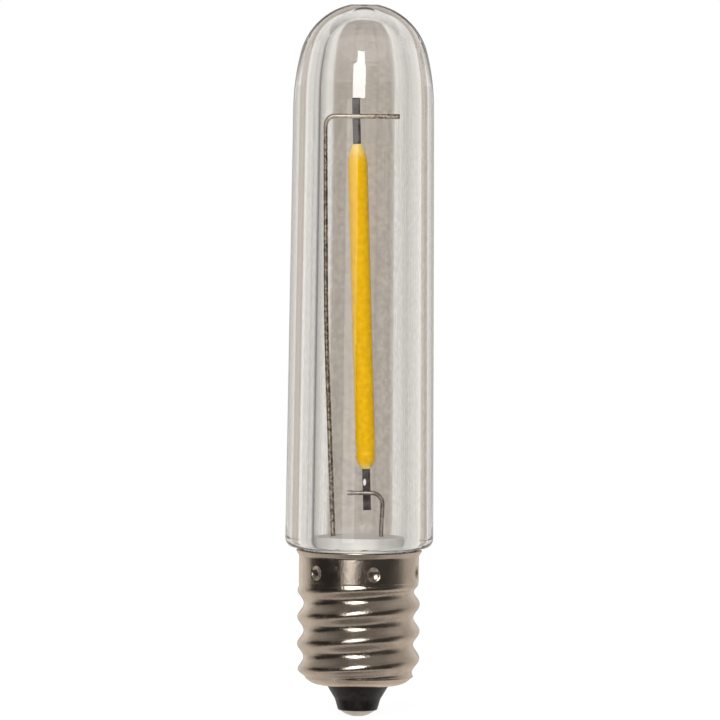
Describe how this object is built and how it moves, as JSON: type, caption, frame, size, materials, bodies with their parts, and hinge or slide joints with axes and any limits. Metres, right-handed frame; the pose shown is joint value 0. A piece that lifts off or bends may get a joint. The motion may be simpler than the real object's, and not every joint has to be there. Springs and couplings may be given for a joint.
{
  "type": "light bulb",
  "caption": "Clear tubular filament bulb with a domed end, an amber filament on two bent support wires, and a small nickel-plated screw base with a black insulator and a tip contact.",
  "frame": {"origin": "centre of the flat land on the tip contact, the lowest point of the bulb when it stands upright in a lamp holder", "axes": "+Z along the bulb's axis towards the domed end; -Y is the front, where the support wires pass in front of the filament's tabs; +X to the right"},
  "size_m": [0.014, 0.014, 0.0671],
  "materials": {
    "clear_plastic": "clear moulded polycarbonate, polished",
    "plug_plastic": "pale moulded plastic",
    "support_wire": "drawn nickel-iron wire",
    "tab_metal": "dull dark strip",
    "substrate": "white ceramic strip",
    "chips": "sapphire chips",
    "phosphor": "amber phosphor in silicone",
    "plated_shell": "nickel-plated rolled sheet, lightly scuffed",
    "black_insulator": "black moulded insulator",
    "plated_contact": "nickel-plated, satin",
    "circuit_board": "glass-fibre board with solder mask",
    "capacitor_can": "drawn can",
    "black_component": "moulded epoxy",
    "resistor_body": "glazed resistor film",
    "tinned_lead": "tinned wire"
  },
  "bodies": {
    "root": {"envelope": "clear_plastic", "wire_plug": "plug_plastic", "long_support_wire": "support_wire", "short_support_wire": "support_wire", "upper_filament_tab": "tab_metal", "lower_filament_tab": "tab_metal", "filament_substrate": "substrate", "led_chips": "chips", "phosphor_coat": "phosphor", "screw_shell": "plated_shell", "base_insulator": "black_insulator", "tip_contact": "plated_contact", "driver_board": "circuit_board", "smoothing_capacitor": "capacitor_can", "bridge_rectifier": "black_component", "driver_chip": "black_component", "fusible_resistor": "resistor_body", "side_lead": "tinned_lead", "tip_lead": "tinned_lead"}
  },
  "joints": []
}
